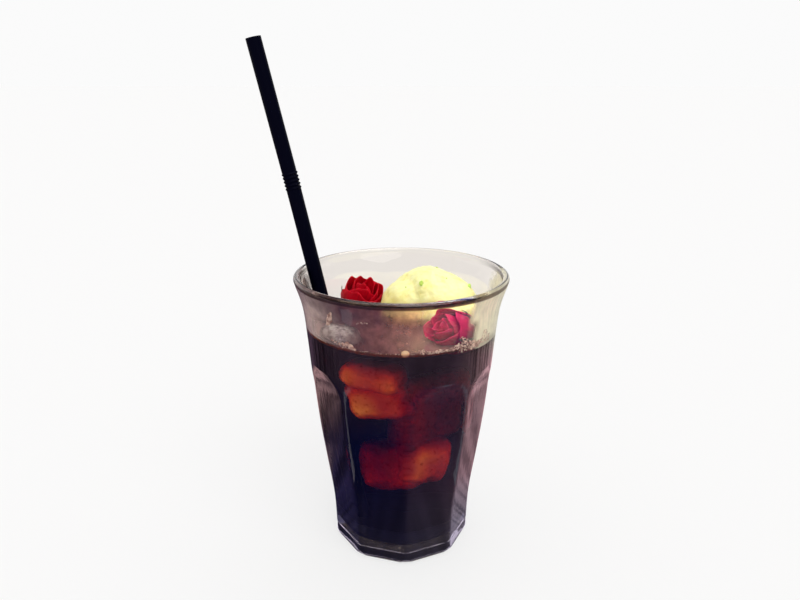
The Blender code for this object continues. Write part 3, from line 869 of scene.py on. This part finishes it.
def tumblerOutline():
    s, loops = tumblerShape, tumblerLoops
    spring, top, rim, bead = s["archSpring"], s["archTop"], s["rimHeight"], s["rimBead"]
    heights = [s["heel"] * (1 - math.cos(math.radians(a))) for a in steps(0, 90, loops["heel"])]
    heights += loops["foot"]
    heights += steps(s["footTop"] + loops["panel"][0], spring, loops["panel"][1])
    heights += steps(spring, top + loops["arch"][0], loops["arch"][1])[1:]
    above, below, count = loops["neck"]
    heights += steps(top + above, rim - below, count)
    line = [(s["under"] * share, 0.0) for share in loops["under"]]
    line += [(bodyRadius(z), z) for z in heights]
    line += arc((s["rimRadius"] - bead, rim), bead, *s["rimTurn"], loops["rim"])
    down, count = loops["inside"]
    line += [(curveThrough(s["inner"], z), z) for z in steps(rim - down, s["wetTo"], count)]
    return line + innerOutline(0.0, s["wetTo"], loops["wet"])[-2::-1]


def makeTumbler():
    s = tumblerShape
    tumbler = spinOutline("glassTumbler", tumblerOutline(), s["columns"])
    pressPanels(tumbler)
    smooth(tumbler)
    tumbler.data.materials.append(clearGlass)
    tumbler.data.materials.append(wetGlass)
    for face in tumbler.data.polygons:
        x, y, z = face.center
        inside = math.hypot(x, y) < curveThrough(s["inner"], z) + s["wetSlack"]
        if inside and s["floor"] - s["wetSlack"] < z < s["wetTo"]:
            face.material_index = 1
    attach(tumbler, "root")
    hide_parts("tumbler")


makeTumbler()
print("the tumbler is turned and pressed")


# the drink

# how far in from the wall the surface's rings lie, then the radii of those further in
surfaceRings = {"nearWall": (0.0, 0.0003, 0.0006, 0.0010, 0.0015, 0.0022, 0.0032, 0.0050, 0.0080),
                "inner": (0.024, 0.019, 0.014, 0.009, 0.004, 0.0), "drop": 0.0005,
                "wall": 30, "dregs": 2}
sharpFrom = 50


def surfaceLine(radii, wall, height):
    # the surface climbs the wall a little where it wets it
    return [(radius, height + drinkShape["rise"]
             * math.exp(-(wall - radius) / drinkShape["riseWidth"])) for radius in radii]


def makeDrink():
    s = drinkShape
    wall = curveThrough(tumblerShape["inner"], s["level"]) + s["reach"]
    radii = [wall - gap for gap in surfaceRings["nearWall"]] + list(surfaceRings["inner"])
    under = surfaceLine(radii, wall, s["level"] - s["skin"] / 2)
    inside = innerOutline(s["reach"], under[0][1] - surfaceRings["drop"], surfaceRings["wall"])
    drink = spinOutline("darkDrinkBody", inside + under, s["columns"])
    smooth(drink, sharpFrom)
    drink.data.materials.append(darkDrink)
    lower = surfaceLine(radii[::-1], wall, s["level"] - s["skin"])
    upper = surfaceLine(radii, wall, s["level"])
    skin = spinOutline("creamySurface", lower + upper, s["columns"])
    smooth(skin, sharpFrom)
    skin.data.materials.append(creamySkin)
    return drink, skin


def makeDregs():
    # the drink is too deep to see into from below, down to its rounded lower corner
    s = drinkShape
    outer, inner = [
        [point for point in innerOutline(grow, s["dregs"], surfaceRings["dregs"])
         if point[1] <= s["dregs"]]
        for grow in (s["dregsReach"], s["dregsReach"] - s["skin"])]
    dregs = spinOutline("darkDregs", outer + inner[::-1], s["columns"])
    smooth(dregs, sharpFrom)
    dregs.data.materials.append(blackDrink)
    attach(dregs, "root")


drink, skin = makeDrink()
makeDregs()


# ice

iceBlockShape = {"size": 0.0178, "round": 0.0030, "taper": 0.92,
                 "place": (-0.0205, -0.0135, 0.0958), "turn": (0.42, 0.30, -0.80),
                 "melt": 0.0007, "cuts": 3}
# its dents, the steps of its rounded edges, and how far the drink reaches into it
iceDents = {"scale": 170, "shift": 900, "rounds": 8, "cutIn": 0.00015}


def iceBlock(name, shape):
    # a tapered cube from a tray, with its edges melted round
    bpy.ops.mesh.primitive_cube_add(size=shape["size"])
    block = bpy.context.object
    block.name = name
    block.data.name = name
    if "stretch" in shape:
        block.scale = shape["stretch"]
        placeInMesh(block)
    points = readPoints(block)
    points[points[:, 2] > 0, :2] *= shape["taper"]
    writePoints(block, points)
    bevel = block.modifiers.new("melted edges", "BEVEL")
    bevel.width = shape["round"]
    bevel.segments = iceDents["rounds"]
    bevel.limit_method = "NONE"
    applyModifiers(block)
    selectOnly(block)
    bpy.ops.object.mode_set(mode="EDIT")
    bpy.ops.mesh.select_all(action="SELECT")
    bpy.ops.mesh.subdivide(number_cuts=shape["cuts"])
    bpy.ops.object.mode_set(mode="OBJECT")
    fine = block.modifiers.new("fine", "SUBSURF")
    fine.subdivision_type = "SIMPLE"
    fine.levels = fine.render_levels = 1
    applyModifiers(block)
    shift = Vector(shape["place"]) * iceDents["shift"]
    movePoints(block, lambda spot: spot + spot.normalized() * shape["melt"]
               * noise.noise(spot * iceDents["scale"] + shift))
    block.rotation_euler = shape["turn"]
    block.location = shape["place"]
    placeInMesh(block)
    smooth(block)
    return block


def makeFloatingIce():
    block = iceBlock("iceBlock", iceBlockShape)
    block.data.materials.append(clearIce)
    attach(block, "root")
    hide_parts("ice_left")
    return block


def cutRound(body, tool):
    # the drink is cut round the ice, whose skin reaches just into it
    selectOnly(tool)
    bpy.ops.object.duplicate()
    copy = bpy.context.object
    middle = Vector(iceBlockShape["place"])
    movePoints(copy, lambda spot: spot - (spot - middle).normalized() * iceDents["cutIn"])
    cut = body.modifiers.new("cut", "BOOLEAN")
    cut.operation = "DIFFERENCE"
    cut.solver = "EXACT"
    cut.object = copy
    applyModifiers(body)
    bpy.data.objects.remove(copy, do_unlink=True)


block = makeFloatingIce()
for liquid in (drink, skin):
    cutRound(liquid, block)
    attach(liquid, "root")
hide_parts("drink")
print("the drink is poured round its ice")

# each block by its angle round the glass from the front, how deep its face lies behind
# the wall, the height of its middle, and its length, depth and height
sunkIce = [
    {"angle": -20, "behind": 0.0025, "height": 0.0768, "sides": (0.0240, 0.0170, 0.0180),
     "lean": (0.15, -0.12, 0.16), "round": 0.0066, "melt": 0.0009},
    {"angle": -23, "behind": 0.0027, "height": 0.0866, "sides": (0.0240, 0.0150, 0.0110),
     "lean": (0.20, 0.08, 0.04), "round": 0.0050, "melt": 0.0009},
    {"angle": 24.5, "behind": 0.0029, "height": 0.0475, "sides": (0.0210, 0.0180, 0.0212),
     "lean": (0.26, 0.12, 0.18), "round": 0.0062, "melt": 0.0010},
    {"angle": -15, "behind": 0.0064, "height": 0.0440, "sides": (0.0245, 0.0170, 0.0226),
     "lean": (-0.04, -0.14, -0.04), "round": 0.0070, "melt": 0.0010},
    {"angle": 37, "behind": 0.0102, "height": 0.0690, "sides": (0.0300, 0.0140, 0.0330),
     "lean": (0.12, -0.08, 0.08), "round": 0.0068, "melt": 0.0012},
]
sunkBlock = {"size": 1.0, "taper": 0.94, "cuts": 2}


def makeSunkIce():
    for i, shape in enumerate(sunkIce):
        angle = math.radians(shape["angle"])
        wall = curveThrough(tumblerShape["inner"], shape["height"])
        out = wall - shape["behind"] - shape["sides"][1] / 2
        tip, roll, turn = shape["lean"]
        block = iceBlock(f"sunkIce{i + 1}", {
            **sunkBlock, "stretch": shape["sides"], "round": shape["round"],
            "melt": shape["melt"], "turn": (tip, roll, angle + turn),
            "place": (out * math.sin(angle), -out * math.cos(angle), shape["height"])})
        block.data.materials.append(frost)
        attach(block, "root")


makeSunkIce()
print("ice is sunk in the drink")


# the scoop

scoopShape = {"place": (0.0141, 0.0132, 0.1030), "long": 0.0225, "deep": 0.0160,
              "above": 0.0143, "below": 0.0090, "turn": math.radians(-47),
              "lobeWay": (-0.95, -0.28, -0.02), "lobeRise": 0.0055, "lobeWidth": 0.48,
              "foldDepth": 0.0011, "foldReach": 0.74, "foldWidth": 0.12, "foldLow": 0.4,
              "ripple": 0.0003, "ripples": 19, "grain": 0.00028, "grainScale": 420,
              "grainKind": (0.8, 2.1, 4), "grainMiddle": 0.25, "segments": 200, "rings": 100}
# each swell by its height, its waves along the three ways, and where it starts
scoopSwells = ((0.0005, (5, 0, 2.2), 0.6), (0.0004, (0, 7, -4), 1.1))


def scoopRadius(way):
    s = scoopShape
    lobeWay = Vector(s["lobeWay"]).normalized()
    along = Matrix.Rotation(-s["turn"], 3, "Z") @ way
    tall = s["above"] if way.z > 0 else s["below"]
    radius = 1 / math.sqrt((along.x / s["long"]) ** 2 + (along.y / s["deep"]) ** 2
                           + (along.z / tall) ** 2)
    lobe = (way - lobeWay).length
    radius += s["lobeRise"] * math.exp(-(lobe / s["lobeWidth"]) ** 2)
    fold = math.exp(-((lobe - s["foldReach"]) / s["foldWidth"]) ** 2)
    radius -= s["foldDepth"] * fold * (s["foldLow"] + max(0.0, way.z))
    for height, waves, start in scoopSwells:
        radius += height * math.sin(way.dot(Vector(waves)) + start)
    return radius + s["ripple"] * math.sin(s["ripples"] * lobe) * max(0.0, 1 - lobe)


def scoopPoint(way):
    s = scoopShape
    spot = Vector(s["place"]) + way * scoopRadius(way)
    grain = noise.fractal(spot * s["grainScale"], *s["grainKind"]) - s["grainMiddle"]
    return spot + way * s["grain"] * grain


def makeScoop():
    bpy.ops.mesh.primitive_uv_sphere_add(segments=scoopShape["segments"],
                                         ring_count=scoopShape["rings"], radius=1)
    scoop = bpy.context.object
    scoop.name = "vanillaScoop"
    scoop.data.name = "vanillaScoop"
    movePoints(scoop, lambda point: scoopPoint(point.normalized()))
    smooth(scoop)
    scoop.data.materials.append(vanilla)
    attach(scoop, "root")
    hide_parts("ice_cream")


makeScoop()
print("the scoop is shaped")


# the rosebuds

roseBackShape = {"place": (-0.0174, 0.0205, 0.1023), "faces": (0.30, -0.25, 0.91),
                 "radius": 0.0092, "height": 0.0178, "turn": -2.00, "draw": 3}
roseFrontShape = {"place": (0.0199, -0.0166, 0.1020), "faces": (-0.72, -0.52, 0.48),
                  "radius": 0.0087, "height": 0.0192, "turn": -0.20, "draw": 5}
petalShape = {"thick": 0.00030, "columns": 22, "rows": 20, "circleTurn": 2.32, "foot": 0.30,
              "cup": 0.75, "cupFrom": 0.12, "cupTo": 0.78, "curlIn": 0.4, "wave": 0.05,
              "waves": (3, 5), "drop": 0.20, "cornerDrop": 0.05, "footDrop": 0.03, "middle": 0.45}
sepalShape = {"count": 4, "turn": 0.5, "half": 0.24, "tip": 0.03, "foot": 0.50, "spread": 0.62,
              "low": 0.02, "rise": 0.62, "columns": 6, "rows": 16}
heartShape = {"width": 0.62, "taper": 0.34, "taperFrom": 0.2, "height": 0.42, "lift": 0.92,
              "segments": 32, "rings": 16}
petalCircles = (
    {"count": 2, "reach": 0.38, "half": 1.60, "tall": 1.02, "curl": 0.00, "tuck": 0.10},
    {"count": 3, "reach": 0.64, "half": 1.25, "tall": 1.00, "curl": 0.02, "tuck": 0.09},
    {"count": 4, "reach": 0.92, "half": 1.05, "tall": 0.88, "curl": 0.10, "tuck": 0.08},
)
petalUneven = {"turn": 0.22, "fall": 0.97, "tall": 0.10, "off": 0.4, "tip": 0.06,
               "tipWidth": 0.35, "ruffle": 0.02, "ruffles": (9, 4)}


def petalPoint(petal, across, up, rose):
    s, uneven = petalShape, petalUneven
    turn = petal["angle"] + across * petal["half"]
    cup = math.sin(s["cup"] * math.pi * (s["cupFrom"] + s["cupTo"] * up))
    share = petal["reach"] * (s["foot"] + (1 - s["foot"]) * cup)
    share += petal["curl"] * up ** 4 * (1 - s["curlIn"] * across * across)
    share += s["wave"] * math.sin(s["waves"][0] * turn + s["waves"][1] * up)
    share -= petal["tuck"] * across
    radius = rose["radius"] * share
    top = petal["tall"] * (1 - s["drop"] * across * across - s["cornerDrop"] * abs(across))
    # each petal ends in a blunt point, off its middle
    aside = (across - petal["off"]) / uneven["tipWidth"]
    top += petal["reach"] * uneven["tip"] * math.exp(-aside ** 2)
    ruffles, shift = uneven["ruffles"]
    top += uneven["ruffle"] * math.sin(ruffles * across + shift * petal["off"])
    return Vector((radius * math.cos(turn), radius * math.sin(turn),
                   rose["height"] * (top * up - s["footDrop"])))


def sepalPoint(angle, across, up, rose):
    s = sepalShape
    turn = angle + across * (s["half"] * (1 - up) + s["tip"])
    radius = rose["radius"] * (s["foot"] + s["spread"] * math.sqrt(up))
    return Vector((radius * math.cos(turn), radius * math.sin(turn),
                   rose["height"] * (s["low"] + s["rise"] * up)))


def bentSheet(name, shape, place, material):
    # a grid is bent by its own across and up, then given its thickness
    bpy.ops.mesh.primitive_grid_add(x_subdivisions=shape["columns"],
                                    y_subdivisions=shape["rows"], size=2)
    sheet = bpy.context.object
    sheet.name = name
    movePoints(sheet, lambda point: place(point.x, (point.y + 1) / 2))
    wall = sheet.modifiers.new("thickness", "SOLIDIFY")
    wall.thickness = shape["thick"]
    wall.offset = 0
    applyModifiers(sheet)
    sheet.data.materials.append(material)
    return sheet


def makePetalSheet(petal, rose, material):
    return bentSheet("petal", petalShape,
                     lambda across, up: petalPoint(petal, across, up, rose), material)


def makeSepalSheet(angle, rose):
    return bentSheet("sepal", {**petalShape, **sepalShape},
                     lambda across, up: sepalPoint(angle, across, up, rose), sepalGreen)


def makeHeart(rose, material):
    # the tight middle that the petals wrap
    s = heartShape
    bpy.ops.mesh.primitive_uv_sphere_add(segments=s["segments"], ring_count=s["rings"], radius=1)
    heart = bpy.context.object

    def place(point):
        wide = rose["radius"] * (s["width"] - s["taper"] * max(0.0, point.z - s["taperFrom"]))
        tall = rose["height"] * s["height"] * (point.z + s["lift"])
        return (point.x * wide, point.y * wide, tall)

    movePoints(heart, place)
    heart.data.materials.append(material)
    return heart


def makeRose(name, rose, petalMaterial, node):
    draw = random.Random(rose["draw"])
    pieces = []
    for number, circle in enumerate(petalCircles):
        for i in range(circle["count"]):
            angle = (rose["turn"] + petalShape["circleTurn"] * number
                     + math.tau * i / circle["count"]
                     + draw.uniform(-1, 1) * petalUneven["turn"])
            off = draw.uniform(-petalUneven["off"], petalUneven["off"])
            tall = circle["tall"] * (petalUneven["fall"] - petalUneven["tall"] * draw.random())
            petal = {**circle, "angle": angle, "off": off, "tall": tall}
            pieces.append(makePetalSheet(petal, rose, petalMaterial))
    for i in range(sepalShape["count"]):
        angle = rose["turn"] + sepalShape["turn"] + math.tau * i / sepalShape["count"]
        pieces.append(makeSepalSheet(angle, rose))
    bud = joinAll(pieces + [makeHeart(rose, petalMaterial)], name)
    turn = Vector((0, 0, 1)).rotation_difference(Vector(rose["faces"]).normalized())
    drop = Matrix.Translation((0, 0, -rose["height"] * petalShape["middle"]))
    bud.data.transform(Matrix.Translation(rose["place"]) @ turn.to_matrix().to_4x4() @ drop)
    smooth(bud)
    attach(bud, "root")
    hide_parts(node)


makeRose("roseBack", roseBackShape, deepRed, "rose_back")
makeRose("roseFront", roseFrontShape, pinkRed, "rose_front")
print("the rosebuds are open")


# the straw

strawShape = {"radius": 0.0030, "bore": 0.0026, "rib": 0.0003, "ribs": 5, "ribLift": 1.5,
              "ribSink": 0.5, "ribFade": 4, "ribPoints": 10, "y": 0.0072,
              "bend": (-0.0443, 0.1560), "bendLength": 0.0075,
              "lowerLean": math.radians(11.9), "upperLean": math.radians(12.5),
              "upperLength": 0.0555, "foot": 0.0082, "sides": 48,
              "lowerLoops": 30, "upperLoops": 12, "boreLoops": 20, "sharpFrom": 40}


def strawPlace(x, y, along):
    # along is measured from the middle of the bend, below it negative
    lean = strawShape["upperLean"] if along > 0 else strawShape["lowerLean"]
    bendX, bendZ = strawShape["bend"]
    return (bendX - along * math.sin(lean) + x * math.cos(lean), strawShape["y"] + y,
            bendZ + along * math.cos(lean) + x * math.sin(lean))


def strawRibs():
    s = strawShape
    half = s["bendLength"] / 2
    count = s["ribPoints"] * s["ribs"]
    line = []
    for i in range(1, count):
        wave = 0.5 - 0.5 * math.cos(math.tau * s["ribs"] * i / count)
        fade = min(1, i / s["ribFade"], (count - i) / s["ribFade"])
        line.append((s["radius"] + s["rib"] * (s["ribLift"] * wave - s["ribSink"]) * fade,
                     -half + 2 * half * i / count))
    return line


def makeStraw():
    s = strawShape
    low = -(s["bend"][1] - s["foot"]) / math.cos(s["lowerLean"])
    half, high = s["bendLength"] / 2, s["upperLength"]
    outer = [(s["radius"], a) for a in steps(low, -half, s["lowerLoops"])] + strawRibs()
    outer += [(s["radius"], a) for a in steps(half, high, s["upperLoops"])]
    inner = [(s["bore"], a) for a in steps(high, low, s["boreLoops"])]
    straw = spinOutline("blackStraw", outer + inner + [outer[0]], s["sides"])
    movePoints(straw, lambda point: strawPlace(*point))
    smooth(straw, s["sharpFrom"])
    straw.data.materials.append(blackPlastic)
    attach(straw, "root")
    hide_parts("straw")


makeStraw()
print("the straw is in")


# film and bubbles on the wall


def wallPlace(angle, height, gap):
    # a place on the inside of the wall, by its angle from the front in degrees
    radius = curveThrough(tumblerShape["inner"], height) - gap
    turn = math.radians(angle)
    return Vector((radius * math.sin(turn), -radius * math.cos(turn), height))


def makeFilm():
    s = filmShape

    def place(across, up):
        return wallPlace(s["from"] + (s["to"] - s["from"]) * (across + 1) / 2,
                         s["low"] + (s["high"] - s["low"]) * up, s["gap"])

    film = bentSheet("creamFilm", s, place, wallFilm)
    smooth(film, s["sharpFrom"])
    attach(film, "root")


# angles round the glass from the front, in degrees, and heights above the level
foamPatches = (
    {"angles": (10, 34), "heights": (0.0018, 0.0040), "count": 210, "radii": (0.00014, 0.00042)},
    {"angles": (33, 50), "heights": (0.0002, 0.0078), "count": 210, "radii": (0.00014, 0.00056)},
    {"angles": (42, 62), "heights": (0.0008, 0.0078), "count": 200, "radii": (0.00012, 0.00046)},
    {"angles": (-45, -27), "heights": (0.0024, 0.0052), "count": 60, "radii": (0.00012, 0.00040)},
    {"angles": (-24, -15), "heights": (0.0135, 0.0150), "count": 6, "radii": (0.00024, 0.00050)},
    {"angles": (2, 14), "heights": (0.0024, 0.0100), "count": 14, "radii": (0.00012, 0.00032)},
    {"angles": (-62, 8), "heights": (0.0020, 0.0027), "count": 60, "radii": (0.00010, 0.00022)},
)
foamShape = {"draw": 11, "inwards": 0.0, "reach": 0.00020, "flat": 0.4, "large": 0.0010,
             "sway": 0.6, "swayScale": 0.16}
# clots of cream on the wall, by angle, height above the level and radius
creamClots = ((-40.2, 0.0156, 0.0009), (-41.2, 0.0144, 0.0012), (-42.2, 0.0130, 0.0014),
              (-43.4, 0.0117, 0.0012), (-44.6, 0.0107, 0.0008), (-39.4, 0.0164, 0.0005),
              (-29.0, 0.0034, 0.0012), (-31.5, 0.0042, 0.0010), (-34.5, 0.0038, 0.0008),
              (-27.0, 0.0026, 0.0008), (-37.0, 0.0036, 0.0006))
clotLump = {"share": 0.45, "scale": 900}


def bubbleAt(angle, above, radius, inwards=0.0):
    # a bubble pressed flat on the wall, and just into it
    bpy.ops.mesh.primitive_ico_sphere_add(
        subdivisions=1 if radius < foamShape["large"] else 3, radius=radius,
        rotation=(0, 0, math.radians(angle)),
        location=wallPlace(angle, drinkShape["level"] + above, inwards - foamShape["reach"]))
    bubble = bpy.context.object
    bubble.scale = (1, foamShape["flat"], 1)
    return bubble


def packBubbles(bubbles):
    clearSelection()
    for bubble in bubbles:
        bubble.select_set(True)
    bpy.ops.object.transform_apply(location=True, rotation=True, scale=True)
    return joinAll(bubbles, "foamBubbles")


def makeFoamPatch(patch, draw):
    (small, large), (low, high) = patch["radii"], patch["heights"]
    bubbles = []
    for i in range(patch["count"]):
        size = small + (large - small) * draw.random() ** 2
        angle = draw.uniform(*patch["angles"])
        spot = Vector((angle * foamShape["swayScale"], 0.5, 0.5))
        sway = foamShape["sway"] * (1 + noise.noise(spot))
        rise = (high - low) * draw.random() * sway
        inwards = draw.random() * foamShape["inwards"]
        bubbles.append(bubbleAt(angle, low + rise, size, inwards))
    return packBubbles(bubbles)


def makeClot(angle, above, size):
    clot = bubbleAt(angle, above, size)
    shift = Vector((angle, 0, 0))
    movePoints(clot, lambda point: point * (1 + clotLump["share"]
                                            * noise.noise(point * clotLump["scale"] + shift)))
    placeInMesh(clot)
    return clot


def makeFoam():
    draw = random.Random(foamShape["draw"])
    packed = [makeFoamPatch(patch, draw) for patch in foamPatches]
    foam = packBubbles(packed + [makeClot(*clot) for clot in creamClots])
    foam.data.materials.append(tanFoam)
    bead = bubbleAt(singleBubble["angle"], singleBubble["above"], singleBubble["radius"])
    bead.name = "goldenBubble"
    bead.data.name = "goldenBubble"
    placeInMesh(bead)
    bead.data.materials.append(goldenBead)
    for piece in (foam, bead):
        smooth(piece)
        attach(piece, "root")


# green specks on the scoop, by the way each lies from its middle, and their sizes
fleckShapes = (
    ((-0.365, -0.610, 0.700), 0.00115), ((0.78, -0.40, 0.48), 0.00130),
    ((0.30, -0.52, 0.80), 0.00035), ((-0.72, -0.40, 0.50), 0.00040),
    ((0.10, 0.45, 0.88), 0.00060), ((0.62, 0.40, 0.66), 0.00040), ((-0.35, 0.55, 0.70), 0.00050),
)
fleckLook = {"stretch": (0.8, 1.2, 0.30), "lump": 0.25, "lumpScale": 1.4, "shift": 9,
             "proud": 0.05}


def makeFleck(way, size):
    s = fleckLook
    way = Vector(way).normalized()
    spot = Vector(scoopShape["place"]) + way * (scoopRadius(way) + size * s["proud"])
    turn = Vector((0, 0, 1)).rotation_difference(way)
    bpy.ops.mesh.primitive_ico_sphere_add(subdivisions=3, radius=1)
    fleck = bpy.context.object

    def place(point):
        lump = 1 + s["lump"] * noise.noise(point * s["lumpScale"] + way * s["shift"])
        return spot + turn @ (point * Vector(s["stretch"]) * size * lump)

    movePoints(fleck, place)
    return fleck


def makeFlecks():
    piece = joinAll([makeFleck(*fleck) for fleck in fleckShapes], "greenFlecks")
    smooth(piece)
    piece.data.materials.append(fleckGreen)
    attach(piece, "root")


makeFilm()
makeFoam()
makeFlecks()
print("film, bubbles and flecks are on")
